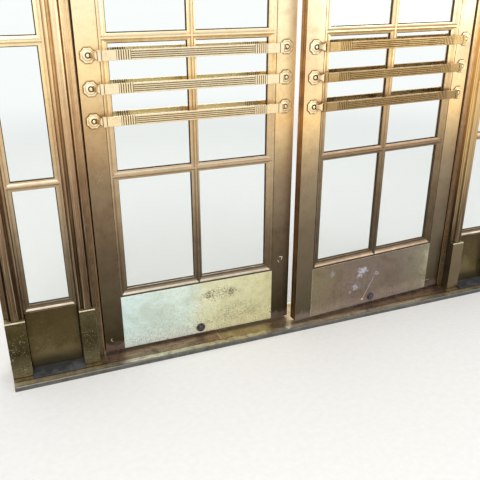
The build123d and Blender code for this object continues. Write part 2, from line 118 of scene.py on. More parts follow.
class Shader:
    """Short calls that build one material's nodes. Most arguments may be a number or a node's output."""

    def __init__(self, name):
        self.material = bpy.data.materials.new(name)
        self.material.use_nodes = True
        self.tree = self.material.node_tree
        self.tree.nodes.clear()
        texture_space = self.node("ShaderNodeTexCoord")
        self.place = texture_space.outputs["Object"]
        self.normal = texture_space.outputs["Normal"]

    def node(self, kind, **settings):
        made = self.tree.nodes.new(kind)
        for key, value in settings.items():
            setattr(made, key, value)
        return made

    def put(self, socket, value):
        if isinstance(value, bpy.types.NodeSocket):
            self.tree.links.new(value, socket)
        else:
            socket.default_value = value

    def math(self, operation, first, second=0.0, clamp=False):
        made = self.node("ShaderNodeMath", operation=operation, use_clamp=clamp)
        self.put(made.inputs[0], first)
        self.put(made.inputs[1], second)
        return made.outputs[0]

    def times(self, first, second):
        return self.math("MULTIPLY", first, second)

    def spread(self, value, low, high, to_low=0.0, to_high=1.0, smooth=False):
        """The value's place between low and high, carried over to another range and held within it."""
        made = self.node("ShaderNodeMapRange", interpolation_type="SMOOTHSTEP" if smooth else "LINEAR")
        self.put(made.inputs["Value"], value)
        for name, number in (("From Min", low), ("From Max", high), ("To Min", to_low), ("To Max", to_high)):
            self.put(made.inputs[name], number)
        return made.outputs[0]

    def vary(self, noise, to_low, to_high):
        """A noise carried over to another range."""
        return self.spread(noise, *NOISE_SPAN, to_low, to_high)

    def mix(self, share, first, second, blend="MIX"):
        made = self.node("ShaderNodeMix", data_type="RGBA", blend_type=blend)
        self.put(made.inputs["Factor"], share)
        # The colour sockets stand behind those for numbers and vectors, which have the same names
        self.put(made.inputs[6], first)
        self.put(made.inputs[7], second)
        return made.outputs[2]

    def axis(self, name, vector=None):
        made = self.node("ShaderNodeSeparateXYZ")
        self.put(made.inputs[0], vector or self.place)
        return made.outputs[name]

    def offset(self, name):
        """How far a point is from the middle along an axis, either way."""
        return self.math("ABSOLUTE", self.axis(name))

    def facing(self, name):
        """How far a surface faces along an axis, either way."""
        return self.math("ABSOLUTE", self.axis(name, self.normal))

    def scaled(self, scale, move=(0, 0, 0), turn=(0, 0, 0)):
        made = self.node("ShaderNodeMapping")
        self.put(made.inputs["Vector"], self.place)
        made.inputs["Location"].default_value = move
        made.inputs["Rotation"].default_value = turn
        made.inputs["Scale"].default_value = scale
        return made.outputs[0]

    def noise(self, scale, detail=4.0, rough=0.55, vector=None, warp=0.0):
        made = self.node("ShaderNodeTexNoise")
        self.put(made.inputs["Vector"], vector or self.place)
        made.inputs["Scale"].default_value = scale
        made.inputs["Detail"].default_value = detail
        made.inputs["Roughness"].default_value = rough
        made.inputs["Distortion"].default_value = warp
        return made.outputs["Fac"]

    def ramp(self, value, stops):
        made = self.node("ShaderNodeValToRGB")
        self.put(made.inputs[0], value)
        marks = made.color_ramp.elements
        while len(marks) < len(stops):
            marks.new(0.5)
        for mark, (place, colour) in zip(marks, stops):
            mark.position = place
            mark.color = colour
        return made.outputs[0]

    def openness(self, distance):
        """Near 1 on open faces and near 0 deep in hollows and corners."""
        made = self.node("ShaderNodeAmbientOcclusion", samples=8)
        made.inputs["Distance"].default_value = distance
        return made.outputs["AO"]

    def edges(self, radius):
        """1 on sharp edges, 0 on flat faces."""
        soft = self.node("ShaderNodeBevel", samples=4)
        soft.inputs["Radius"].default_value = radius
        true = self.node("ShaderNodeNewGeometry").outputs["True Normal"]
        dot = self.node("ShaderNodeVectorMath", operation="DOT_PRODUCT")
        self.put(dot.inputs[0], soft.outputs[0])
        self.put(dot.inputs[1], true)
        return self.spread(dot.outputs["Value"], *EDGE_SPAN)

    def rubbed_glint(self, colour, radius, share, tone):
        """The colour with another tone on sharp edges, for painted highlights together with wear."""
        return self.mix(self.times(self.edges(radius), share), colour, tone)

    def painted_hollow_shade(self, colour, reach, span, share, tone):
        """Painted shade: the colour with a dark tone in hollows, which grows as openness falls over the span.
        """
        return self.mix(self.spread(self.openness(reach), *span, 0.0, share), colour, tone)

    def bumped(self, height, distance, strength=1.0, under=None):
        made = self.node("ShaderNodeBump")
        self.put(made.inputs["Height"], height)
        made.inputs["Distance"].default_value = distance
        made.inputs["Strength"].default_value = strength
        if under:
            self.put(made.inputs["Normal"], under)
        return made.outputs[0]

    def oval(self, centre, size, ragged=0.35):
        """1 inside a ragged oval on a leaf's face, 0 outside. Centre and size are along X and Z."""
        across = self.math("DIVIDE", self.math("SUBTRACT", self.axis("X"), centre[0]), size[0])
        up = self.math("DIVIDE", self.math("SUBTRACT", self.axis("Z"), centre[1]), size[1])
        reach = self.math("SQRT", self.math("ADD", self.times(across, across), self.times(up, up)))
        fray = self.vary(self.noise(60.0, 6.0, 0.75), -ragged, ragged)
        return self.spread(self.math("ADD", reach, fray), 1.1, 0.6, smooth=True)

    def stroke(self, start, end, width):
        """1 on a straight scratch between two points of a leaf's face."""
        length = hypot(end[0] - start[0], end[1] - start[1])
        run = ((end[0] - start[0]) / length, (end[1] - start[1]) / length)
        x, z = self.axis("X"), self.axis("Z")
        along = self.math("ADD", self.times(x, run[0]), self.times(z, run[1]))
        along = self.math("SUBTRACT", along, start[0] * run[0] + start[1] * run[1] + length / 2)
        across = self.math("SUBTRACT", self.times(x, run[1]), self.times(z, run[0]))
        across = self.math("SUBTRACT", across, start[0] * run[1] - start[1] * run[0])
        near = self.spread(self.math("ABSOLUTE", across), width, width * 0.3)
        within = self.spread(self.math("ABSOLUTE", along), length / 2, length * 0.4)
        return self.times(near, within)

    def curls(self, scale, width, warp=0.6):
        """Thin curling lines, as where a noise crosses its middle value."""
        band = self.math("ABSOLUTE", self.math("SUBTRACT", self.noise(scale, 3.0, 0.6, warp=warp), 0.5))
        return self.spread(band, width, width * 0.3)

    def finish(self, colour, roughness, normal=None, metallic=1.0, **others):
        surface = self.node("ShaderNodeBsdfPrincipled")
        self.put(surface.inputs["Base Color"], colour)
        self.put(surface.inputs["Roughness"], roughness)
        self.put(surface.inputs["Metallic"], metallic)
        for name, value in others.items():
            self.put(surface.inputs[name.replace("_", " ")], value)
        if normal:
            self.put(surface.inputs["Normal"], normal)
        output = self.node("ShaderNodeOutputMaterial")
        self.tree.links.new(surface.outputs[0], output.inputs[0])
        return self.material


# Grain: how fine a brushed noise is along X, Y and Z
UPRIGHT_GRAIN = (500, 500, 12)
STREAKED_GRAIN = (260, 260, 3)
LEVEL_GRAIN = (12, 500, 500)
EVEN_GRAIN = (90, 90, 90)

SPOT_BROWN = paint(48, 31, 16)
# A pale tone for painted highlights, with wear, on edges and upward faces
PALE_RUB_GLINT = paint(255, 228, 180)

# Tones that multiply a metal's colour: tarnish, painted shade in hollows, streaks, painted shade on side
# faces, blotches and a plate's grain
RUST = (0.80, 0.60, 0.44, 1)
OLIVE = (0.70, 0.64, 0.44, 1)
BROWN_SHADE = (0.30, 0.20, 0.11, 1)
FLUTE_SHADE = (0.12, 0.08, 0.04, 1)
STREAK_TINT = (0.62, 0.56, 0.48, 1)
FLANK_SHADE = (0.50, 0.42, 0.34, 1)
BLOTCH_STOPS = [(0.38, (1.10, 1.10, 1.10, 1)), (0.50, (1, 1, 1, 1)), (0.66, (0.76, 0.70, 0.62, 1))]
PLATE_GRAIN_TINT = (0.50, 0.46, 0.40, 1)

# How far openness falls, with painted shade growing over that span, in the hollows of the leaves' flat pieces
# and of the guard bars
STILE_HOLLOWS = (0.97, 0.74)
BAR_HOLLOWS = (0.96, 0.68)


def aged_metal_with_painted_light(name, heights, grain, tarnish=(0.74, 0.58, 0.42, 1), clouded=0.25, hollow_reach=0.007,
               hollow_range=(0.95, 0.55), rub_glint_tone=PALE_RUB_GLINT, rubbed_glint=0.5, sheen=0.36, flanks=0.55, upward_glint=0.6,
               mottled=0.4, streaked=0.16, shade=BROWN_SHADE, extra=None):
    """Brass, clouded and brushed, with painted light: colour by height, bright high up and dark low down,
    painted shade in hollows and on side faces, and painted highlights with wear on edges and upward faces.
    """
    shader = Shader(name)
    # Painted light and reflection: the colour changes with height, bright gold where light falls from above
    # and dark brown low down as a painted reflection of a dark floor
    height = shader.spread(shader.axis("Z"), 0.0, COLOUR_HEIGHT)
    colour = shader.ramp(height, [(z / COLOUR_HEIGHT, tone) for z, tone in heights])
    clouds = shader.noise(4.5, 6.0, 0.6, warp=0.5)
    mottle = shader.noise(30.0, 7.0, 0.68)
    brushing = shader.noise(1.0, 4.0, 0.6, vector=shader.scaled(grain))
    spots = shader.noise(150.0, 4.0, 0.6)
    cloudy = shader.spread(clouds, 0.46, 0.66, 0.0, clouded, smooth=True)
    colour = shader.mix(cloudy, colour, tarnish, "MULTIPLY")
    colour = shader.mix(mottled, colour, shader.ramp(mottle, BLOTCH_STOPS), "MULTIPLY")
    streaks = shader.spread(brushing, 0.40, 0.66, 0.0, streaked)
    colour = shader.mix(streaks, colour, STREAK_TINT, "MULTIPLY")
    clusters = shader.spread(clouds, 0.40, 0.56, 0.05, 0.35)
    dots = shader.times(shader.spread(spots, 0.64, 0.72), clusters)
    colour = shader.mix(dots, colour, SPOT_BROWN)
    # Painted shade: faces that do not face the front or back are darkened
    side = shader.spread(shader.facing("Y"), 0.92, 0.35, 0.0, flanks, smooth=True)
    colour = shader.mix(side, colour, FLANK_SHADE, "MULTIPLY")
    if extra:
        colour = extra(shader, colour)
    # Painted highlight: upward faces mixed towards the pale tone as a reflection of light from above
    upward = shader.spread(shader.axis("Z", shader.normal), 0.15, 0.75, 0.0, upward_glint, smooth=True)
    upward = shader.times(upward, shader.spread(mottle, 0.66, 0.40, 0.75, 1.0))
    colour = shader.mix(upward, colour, rub_glint_tone)
    # Painted highlights together with wear: sharp edges mixed towards the pale tone
    worn_glinting_edges = shader.times(shader.edges(0.0012), shader.spread(mottle, 0.62, 0.38, 0.2, rubbed_glint))
    colour = shader.mix(worn_glinting_edges, colour, rub_glint_tone)
    # Painted shade: a dark tone multiplied into hollows as openness falls, a little blotchy
    shade_openness = shader.math("ADD", shader.openness(hollow_reach), shader.vary(spots, -0.05, 0.05))
    colour = shader.mix(shader.spread(shade_openness, *hollow_range, 0.0, 1.0), colour, shade, "MULTIPLY")
    rough = shader.math("ADD", shader.spread(clouds, 0.35, 0.7, sheen - 0.05, sheen + 0.10),
                        shader.vary(mottle, -0.05, 0.07))
    rough = shader.math("ADD", rough, shader.spread(shade_openness, 0.85, 0.4, 0.0, 0.25), clamp=True)
    dents = shader.bumped(shader.noise(9.0, 2.0), 0.004, 0.16)
    relief = shader.math("ADD", brushing, shader.times(spots, 0.8))
    return shader.finish(colour, rough, shader.bumped(relief, 0.0003, 0.3, dents))


# Colours by height above the floor. On the frame, leaves and glazing they are painted light and reflection:
# bright gold high up where light falls from above, dark brown low down as a painted reflection of a dark
# floor
FRAME_HEIGHTS = [(0.02, paint(104, 96, 78)), (0.30, paint(96, 80, 60)), (0.52, paint(106, 86, 66)),
                 (0.85, paint(154, 126, 98)), (1.10, paint(214, 180, 136)), (1.35, paint(255, 228, 180)),
                 (1.65, paint(255, 238, 200)), (2.17, paint(255, 238, 202))]
LEAF_HEIGHTS = [(0.12, paint(68, 60, 43)), (0.30, paint(88, 77, 60)), (0.52, paint(100, 86, 68)),
                (0.84, paint(142, 122, 95)), (1.08, paint(206, 172, 126)), (1.26, paint(255, 226, 168)),
                (1.60, paint(255, 240, 204)), (2.10, paint(255, 240, 206))]
GLAZING_HEIGHTS = [(0.12, paint(72, 62, 46)), (0.30, paint(96, 84, 66)), (0.52, paint(122, 106, 86)),
                   (0.84, paint(190, 166, 132)), (1.08, paint(224, 192, 146)), (1.26, paint(255, 226, 168)),
                   (1.60, paint(255, 240, 204)), (2.10, paint(255, 240, 206))]
MIDDLE_HEIGHTS = [(0.12, paint(70, 62, 46)), (0.30, paint(92, 80, 64)), (0.50, paint(108, 94, 76)),
                  (0.75, paint(152, 133, 108)), (0.88, paint(192, 166, 126)), (1.02, paint(250, 212, 152)),
                  (1.26, paint(255, 232, 180)), (1.60, paint(255, 240, 204))]
PLINTH_HEIGHTS = [(0.02, paint(118, 116, 100)), (0.07, paint(100, 94, 70)), (0.14, paint(66, 58, 36)),
                  (0.30, paint(92, 82, 58))]
PANEL_HEIGHTS = [(0.05, paint(110, 98, 68)), (0.12, paint(92, 80, 52)), (0.30, paint(82, 70, 46))]
BAR_HEIGHTS = [(1.00, paint(248, 222, 172)), (1.20, paint(255, 236, 194)), (1.45, paint(255, 240, 204))]
DULL_BAR_HEIGHTS = [(1.00, paint(160, 132, 90)), (1.20, paint(176, 146, 98)), (1.45, paint(198, 168, 112))]


def rubbed_foot(shader, colour):
    """A pinkish-grey scuffed band along the foot of a leaf."""
    ragged = shader.math("ADD", shader.axis("Z"), shader.vary(shader.noise(40.0, 5.0), -0.012, 0.012))
    low = shader.spread(ragged, 0.084, 0.052, 0.0, 0.7, smooth=True)
    return shader.mix(low, colour, paint(140, 128, 126))


def pale_specks(shader, colour, amount=1.0):
    """Small pale corrosion specks, thicker near the floor."""
    specks = shader.spread(shader.noise(190.0, 3.0, 0.5), 0.60, 0.68)
    patches = shader.spread(shader.noise(14.0, 4.0), 0.42, 0.60, 0.15, 1.0)
    low = shader.spread(shader.axis("Z"), 0.36, 0.10, 0.10 * amount, 0.80 * amount)
    share = shader.times(shader.times(specks, low), patches)
    return shader.mix(share, colour, paint(206, 200, 160))


def specks_and_shaded_rebate(shader, colour):
    """Pale specks, and a painted shadow on the face where a post looks at a leaf's heel."""
    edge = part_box("right_mullion")[0][0]
    away = shader.math("ABSOLUTE", shader.math("SUBTRACT", shader.offset("X"), edge))
    near = shader.times(shader.spread(away, 0.0012, 0.0006), shader.spread(shader.facing("X"), 0.7, 0.9))
    colour = pale_specks(shader, colour)
    return shader.mix(shader.times(near, 0.9), colour, paint(46, 32, 20))


def golden_casings(shader, colour):
    """Pale upright streaks and specks, and painted light: yellower, brighter side faces above knee height
    right of the leaves.
    """
    streaks = shader.noise(1.0, 4.0, 0.6, vector=shader.scaled(STREAKED_GRAIN, move=(0.3, 0.7, 0.2)))
    share = shader.spread(shader.axis("Z"), 0.50, 1.20, 0.45, 0.20)
    share = shader.times(share, shader.spread(streaks, 0.50, 0.62))
    colour = shader.mix(share, colour, paint(206, 186, 154))
    # Painted light: brighter, yellower faces above knee height right of the leaves, mostly on faces turned
    # sideways
    side = shader.times(shader.spread(shader.axis("X"), *RIGHT_OF_LEAVES),
                       shader.spread(shader.facing("Y"), 0.98, 0.60, 0.35, 1.0))
    high = shader.spread(shader.axis("Z"), 0.30, 1.05, 0.0, 0.75, smooth=True)
    colour = shader.mix(shader.times(side, high), colour, paint(255, 224, 156))
    return pale_specks(shader, colour)


def browner_plinths(shader, colour):
    """Pale specks on the left, and a paler, browner tone with few specks right of the leaves."""
    side = shader.spread(shader.axis("X"), *RIGHT_OF_LEAVES)
    specked = pale_specks(shader, colour)
    plain = shader.mix(0.6, pale_specks(shader, colour, 0.5), paint(136, 120, 96))
    return shader.mix(side, specked, plain)


def panel_specks_and_reflection(shader, colour):
    """Few specks, and a painted reflection: a soft paler cloud low on the panel."""
    colour = pale_specks(shader, colour, 0.3)
    ragged = shader.math("ADD", shader.axis("Z"), shader.vary(shader.noise(7.0, 3.0), -0.07, 0.07))
    low = shader.spread(ragged, 0.17, 0.06, 0.0, 0.55, smooth=True)
    return shader.mix(low, colour, paint(134, 122, 92))


# An L-shaped pale mark at the right kick plate's lower outer corner
CORNER_MARK = (((0.806, 0.078), (0.862, 0.078)), ((0.808, 0.078), (0.808, 0.104)))
CORNER_MARK_WIDTH = 0.0022
CORNER_MARK_TONE = paint(186, 178, 170)


def left_stile_marks(shader, colour):
    """The left leaf's foot, a small pale chip near it, specks above, and pale nicks at knee height."""
    colour = rubbed_foot(shader, colour)
    specks = shader.spread(shader.noise(230.0, 2.0, 0.5), 0.62, 0.68, 0.0, 0.7)
    for place, size, tone in (((-0.868, 0.850), (0.018, 0.030), paint(226, 202, 158)),
                              ((-0.872, 0.170), (0.020, 0.034), paint(150, 136, 100))):
        colour = shader.mix(shader.times(specks, shader.oval(place, size, 0.4)), colour, tone)
    for start, end, width in (((-0.8790, 0.0840), (-0.8860, 0.0860), 0.0016),
                              ((-0.8860, 0.0860), (-0.8880, 0.0960), 0.0018),
                              ((-0.8880, 0.0960), (-0.8820, 0.0985), 0.0014),
                              ((-0.0560, 0.3680), (-0.0380, 0.3640), 0.0024),
                              ((-0.0400, 0.3640), (-0.0440, 0.3500), 0.0020),
                              ((-0.0640, 0.3520), (-0.0560, 0.3380), 0.0014)):
        colour = shader.mix(shader.stroke(start, end, width), colour, paint(244, 234, 212))
    return colour


def right_stile_marks(shader, colour):
    """The right leaf's foot, and pinkish tarnish towards the top."""
    patches = shader.spread(shader.noise(3.2, 5.0, 0.6, warp=0.8), 0.36, 0.58, 0.25, 1.0)
    high = shader.spread(shader.axis("Z"), 1.05, 1.35, 0.0, 0.65)
    colour = shader.mix(shader.times(patches, high), colour, paint(206, 160, 132))
    low = shader.spread(shader.axis("Z"), 1.05, 0.60, 0.0, 0.30)
    colour = shader.mix(low, colour, paint(134, 122, 100))
    colour = rubbed_foot(shader, colour)
    return shader.mix(shader.stroke(*CORNER_MARK[0], CORNER_MARK_WIDTH), colour, CORNER_MARK_TONE)


def shaded_meeting_edge(shader, colour):
    """Painted shade with tarnish: dark orange-brown on the edges where the leaves meet, in the gap between
    them.
    """
    side = shader.spread(shader.facing("X"), 0.75, 0.95)
    tone = shader.ramp(shader.noise(12.0, 5.0), [(0.35, paint(118, 84, 52)), (0.65, paint(172, 130, 84))])
    return shader.mix(shader.times(side, 0.85), colour, tone)


def left_meeting_marks(shader, colour):
    """The left leaf's marks, and painted shade with tarnish on its meeting edge."""
    return shaded_meeting_edge(shader, left_stile_marks(shader, colour))


def right_meeting_marks(shader, colour):
    """The right leaf's marks, and painted shade with tarnish on its meeting edge."""
    return shaded_meeting_edge(shader, right_stile_marks(shader, colour))


def stile_metal(name, heights, marks, **others):
    """A leaf's stile: upright grain, rusty clouds, and painted shade in the hollows along its seams."""
    return aged_metal_with_painted_light(name, heights, UPRIGHT_GRAIN, RUST, hollow_range=STILE_HOLLOWS, extra=marks, **others)


def shaded_outline(shader, colour):
    """Painted shade: dark brown round the rim of a rosette's plate and on the sides of its neck."""
    return shader.mix(shader.spread(shader.facing("Y"), 0.55, 0.20, 0.0, 0.85), colour, paint(84, 58, 30))


def plate_metal(name, stops, x_range, cloud_tone, sheen, foot_tone, marks):
    """A kick plate: colours along X, clouds, its own marks, a corroded and duller lower edge, painted
    highlights with wear on its edges and painted shade in its corners.
    """
    shader = Shader(name)
    along = shader.axis("X")
    along = shader.math("ADD", along, shader.vary(shader.noise(12.0, 5.0), -0.03, 0.03))
    colour = shader.ramp(shader.spread(along, *x_range), stops)
    clouds = shader.noise(8.0, 7.0, 0.65, warp=0.7)
    mottle = shader.noise(52.0, 6.0, 0.72)
    grain = shader.noise(1.0, 4.0, 0.6, vector=shader.scaled((14, 420, 420)))
    cloudy = shader.spread(clouds, 0.45, 0.68, 0.0, 0.40, smooth=True)
    colour = shader.mix(cloudy, colour, cloud_tone, "MULTIPLY")
    colour = shader.mix(shader.spread(mottle, 0.48, 0.72, 0.0, 0.35), colour, cloud_tone, "MULTIPLY")
    colour = shader.mix(shader.spread(grain, 0.42, 0.70, 0.0, 0.14), colour, PLATE_GRAIN_TINT, "MULTIPLY")
    street = shader.spread(shader.axis("Y", shader.normal), -0.1, -0.5)
    for mask, tone in marks(shader):
        colour = shader.mix(shader.times(mask, street), colour, tone)
    height = shader.math("ADD", shader.axis("Z"), shader.vary(mottle, -0.018, 0.018))
    foot = shader.spread(height, 0.058, 0.038, 0.0, 0.25, smooth=True)
    colour = shader.mix(foot, colour, foot_tone)
    pits = shader.spread(shader.noise(200.0, 3.0), 0.59, 0.65, 0.0, 0.75)
    pits = shader.times(pits, shader.spread(shader.axis("Z"), 0.17, 0.05, 0.10, 1.0))
    colour = shader.mix(pits, colour, paint(74, 66, 60))
    # Painted highlights together with wear: near-white sharp edges
    colour = shader.rubbed_glint(colour, 0.0016, 0.8, paint(255, 255, 244))
    # Painted shade: dark brown where openness falls
    colour = shader.painted_hollow_shade(colour, 0.005, (0.85, 0.5), 0.85, paint(52, 42, 30))
    rough = shader.math("ADD", shader.spread(clouds, 0.35, 0.7, sheen - 0.06, sheen + 0.10),
                        shader.times(foot, 0.2))
    relief = shader.math("ADD", grain, shader.times(mottle, 0.8))
    normal = shader.bumped(relief, 0.0004, 0.3, shader.bumped(shader.noise(9.0, 2.0), 0.004, 0.2))
    metallic = shader.spread(height, 0.120, 0.050, 1.0, 0.35, smooth=True)
    return shader.finish(colour, rough, normal, metallic)


def bright_plate_marks(shader):
    """A scribble of scratches above the lock, two dark blotches, finer scratches and specks below them."""
    scribble = shader.times(shader.curls(62.0, 0.034), shader.oval((-0.365, 0.228), (0.105, 0.036), 0.5))
    yield shader.times(scribble, 0.9), paint(120, 96, 84)
    for place in ((-0.422, 0.235), (-0.301, 0.227)):
        blotch = shader.times(shader.oval(place, (0.020, 0.018), 0.7),
                             shader.spread(shader.noise(190.0, 4.0, 0.7), 0.40, 0.54))
        yield shader.times(blotch, 0.85), paint(98, 80, 76)
    fine = shader.times(shader.curls(85.0, 0.030, 0.3), shader.oval((-0.275, 0.118), (0.16, 0.055), 0.5))
    yield shader.times(fine, 0.7), paint(136, 122, 84)
    rings = shader.times(shader.curls(46.0, 0.022), shader.oval((-0.60, 0.13), (0.20, 0.09), 0.6))
    yield shader.times(rings, 0.35), paint(160, 156, 140)
    specks = shader.spread(shader.noise(170.0, 2.0), 0.645, 0.69)
    for place, size, share in (((-0.70, 0.075), (0.14, 0.050), 0.9), ((-0.55, 0.17), (0.20, 0.10), 0.5)):
        patch = shader.times(specks, shader.oval(place, size, 0.6))
        yield shader.times(patch, share), paint(104, 92, 76)


def dull_plate_marks(shader):
    """Bluish-white scuffs, thin curling scratches round them and one long pale scratch down to the lock."""
    worn = shader.spread(shader.noise(130.0, 5.0, 0.75), 0.42, 0.54)
    for centre, size, share in (((0.398, 0.226), (0.030, 0.024), 1.0), ((0.384, 0.204), (0.022, 0.014), 0.8),
                                ((0.492, 0.194), (0.016, 0.012), 0.5), ((0.362, 0.142), (0.022, 0.018), 0.8),
                                ((0.330, 0.120), (0.008, 0.007), 0.9), ((0.219, 0.246), (0.014, 0.018), 0.4)):
        scuff = shader.times(shader.oval(centre, size, 0.7), worn)
        yield shader.times(scuff, share), paint(206, 208, 224)
    curls = shader.times(shader.curls(80.0, 0.016), shader.oval((0.39, 0.17), (0.12, 0.085), 0.5))
    yield shader.times(curls, 0.5), paint(190, 186, 190)
    yield shader.times(shader.stroke((0.477, 0.180), (0.413, 0.064), 0.0022), 0.8), paint(214, 204, 206)
    yield shader.oval((0.412, 0.062), (0.007, 0.006), 0.3), paint(255, 232, 214)
    for start, end in CORNER_MARK:
        yield shader.times(shader.stroke(start, end, CORNER_MARK_WIDTH), 0.8), CORNER_MARK_TONE
    low = shader.times(shader.curls(120.0, 0.03), shader.spread(shader.axis("Z"), 0.11, 0.06))
    yield shader.times(low, 0.4), paint(170, 160, 164)


def cover_metal():
    """Trodden reddish bronze, mottled with dark pits, with a pale worn line along its inner end, painted
    highlights with wear on its edges, and painted shade in its hollows.
    """
    shader = Shader("trodden_bronze")
    blotch = shader.noise(16.0, 7.0, 0.7, warp=0.9)
    colour = shader.ramp(blotch, [(0.32, paint(92, 72, 60)), (0.46, paint(132, 108, 90)),
                                  (0.60, paint(164, 136, 110)), (0.74, paint(190, 168, 142))])
    fine = shader.noise(120.0, 5.0, 0.65)
    colour = shader.mix(shader.spread(fine, 0.50, 0.68, 0.0, 0.6), colour, paint(70, 54, 44))
    rubbing = shader.noise(1.0, 4.0, vector=shader.scaled((6, 60, 60)))
    colour = shader.mix(shader.spread(rubbing, 0.5, 0.7, 0.0, 0.4), colour, paint(196, 172, 146))
    # Painted highlights together with wear on sharp edges
    colour = shader.rubbed_glint(colour, 0.0016, 0.7, paint(226, 206, 170))
    inner_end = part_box("right_pivot_cover")[0][0] + COVER_LINE
    line = shader.math("SUBTRACT", shader.offset("X"), inner_end)
    line = shader.spread(shader.math("ABSOLUTE", line), 0.0036, 0.0016, 0.0, 0.8)
    colour = shader.mix(line, colour, paint(206, 180, 150))
    # Painted shade: near black where openness falls
    colour = shader.painted_hollow_shade(colour, 0.006, (0.8, 0.4), 0.9, paint(24, 18, 14))
    normal = shader.bumped(shader.math("ADD", blotch, fine), 0.0010, 0.4)
    return shader.finish(colour, shader.vary(fine, 0.38, 0.6), normal)


def threshold_metal():
    """Olive-tan flat with dark joints round the covers, a paler nosing that is worn and has a painted
    reflection, a dark bluish rolled edge of painted shade with grime, painted highlights with wear on edges
    and painted shade in hollows.
    """
    shader = Shader("worn_threshold_brass")
    fray = shader.vary(shader.noise(24.0, 6.0), -0.008, 0.008)
    depth = shader.math("ADD", shader.offset("Y"), fray)
    mottle = shader.noise(26.0, 7.0, 0.7)
    worn = shader.ramp(mottle, [(0.34, paint(156, 146, 126)), (0.52, paint(206, 194, 170)),
                                (0.70, paint(232, 222, 200))])
    flat = shader.ramp(mottle, [(0.34, paint(120, 102, 78)), (0.50, paint(164, 144, 112)),
                                (0.68, paint(188, 170, 136))])
    # The paler nosing: wear together with a painted reflection of light from above
    colour = shader.mix(shader.spread(depth, 0.096, 0.106), flat, worn)
    marks = shader.noise(1.0, 5.0, 0.7, vector=shader.scaled((7, 260, 260)))
    colour = shader.mix(shader.spread(marks, 0.48, 0.68, 0.0, 0.45), colour, paint(92, 86, 76))
    # Painted highlights together with wear on sharp edges
    colour = shader.rubbed_glint(colour, 0.002, 0.6, paint(236, 230, 210))
    # Painted shade with grime: the rolled front edge dark bluish
    straight = shader.math("ADD", shader.offset("Y"), shader.times(fray, 0.15))
    rolled = shader.spread(straight, ROLLED_EDGE - 0.001, ROLLED_EDGE + 0.002, 0.0, 0.8)
    colour = shader.mix(rolled, colour, paint(66, 73, 78))
    low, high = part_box("right_pivot_cover")
    across = shader.math("SUBTRACT", shader.offset("X"), low[0])
    deep = shader.math("SUBTRACT", shader.offset("Y"), high[1])
    beside = shader.spread(deep, 0.002, 0.0)
    along = shader.spread(across, -0.002, 0.0)
    for line, inside in ((across, beside), (deep, along)):
        joint = shader.spread(shader.math("ABSOLUTE", line), 0.0032, 0.0012)
        colour = shader.mix(shader.times(joint, inside), colour, paint(40, 30, 22))
    # Painted shade: dark where openness falls
    colour = shader.painted_hollow_shade(colour, 0.006, (0.8, 0.35), 0.9, paint(34, 30, 24))
    return shader.finish(colour, shader.vary(marks, 0.36, 0.52), shader.bumped(marks, 0.0008, 0.35))


def ledge_stone():
    """Honed blue-grey stone with fine grains, its tone darkened as painted shade, and painted shade at its
    edges.
    """
    shader = Shader("ledge_stone")
    grains = shader.noise(260.0, 4.0, 0.7)
    clouds = shader.noise(16.0, 6.0, 0.65)
    # The stone's grey, darkened as painted shade
    colour = shader.ramp(grains, [(0.32, paint(48, 53, 58)), (0.5, paint(70, 75, 79)),
                                  (0.68, paint(106, 110, 111))])
    cloudy = shader.spread(clouds, 0.40, 0.56, 0.0, 0.8)
    colour = shader.mix(cloudy, colour, paint(116, 116, 118), "MULTIPLY")
    # Painted shade: dark where openness falls, at the edges and corners
    colour = shader.painted_hollow_shade(colour, 0.05, (0.85, 0.45), 0.85, paint(46, 44, 42))
    return shader.finish(colour, shader.vary(clouds, 0.5, 0.75), shader.bumped(grains, 0.0006, 0.4), 0.0)


def lock_metal():
    """Purple-grey tarnished metal, with painted highlights and wear on its rims and painted shade in its
    hollows.
    """
    shader = Shader("lock_metal")
    blotch = shader.noise(150.0, 5.0, 0.65)
    colour = shader.ramp(blotch, [(0.34, paint(58, 54, 58)), (0.52, paint(92, 88, 96)),
                                  (0.70, paint(150, 146, 156))])
    # Painted highlights together with wear on the rims
    colour = shader.rubbed_glint(colour, 0.0015, 0.8, paint(200, 196, 206))
    # Painted shade: near black where openness falls
    colour = shader.painted_hollow_shade(colour, 0.005, (0.85, 0.45), 0.92, paint(22, 19, 18))
    return shader.finish(colour, shader.vary(blotch, 0.30, 0.5), shader.bumped(blotch, 0.0003, 0.4))


def turned_steel():
    """Greased steel pins with faint turning rings."""
    shader = Shader("pivot_steel")
    rings = shader.noise(1.0, 3.0, 0.6, vector=shader.scaled((4, 4, 900)))
    colour = shader.ramp(rings, [(0.35, paint(92, 92, 92)), (0.65, paint(150, 150, 148))])
    colour = shader.mix(shader.spread(shader.noise(60.0, 4.0), 0.5, 0.7, 0.0, 0.6), colour, paint(60, 50, 38))
    return shader.finish(colour, shader.vary(rings, 0.3, 0.45), shader.bumped(rings, 0.0002, 0.4))


def woven_pile():
    """Woven pile seal, dark brown."""
    shader = Shader("pile_seal")
    tufts = shader.noise(900.0, 2.0, 0.6)
    colour = shader.ramp(tufts, [(0.35, paint(78, 52, 28)), (0.65, paint(134, 94, 54))])
    return shader.finish(colour, 0.95, shader.bumped(tufts, 0.0008, 0.8), 0.0)


def glazing_compound():
    """Dark glazing compound along the panes."""
    shader = Shader("glazing_compound")
    grains = shader.noise(240.0, 4.0, 0.6)
    colour = shader.ramp(grains, [(0.35, paint(38, 31, 24)), (0.65, paint(76, 62, 46))])
    return shader.finish(colour, 0.8, shader.bumped(grains, 0.0004, 0.5), 0.0)


def clear_glass():
    """Clear plate glass, a little green, with faint wiped smears."""
    shader = Shader("clear_glass")
    smears = shader.noise(1.0, 5.0, 0.7, vector=shader.scaled((5, 5, 1.6), turn=(0, 0.5, 0)), warp=1.2)
    rough = shader.spread(smears, 0.5, 0.75, 0.01, 0.06)
    return shader.finish((0.92, 0.955, 0.94, 1), rough, None, 0.0, Transmission_Weight=1.0, IOR=1.5)


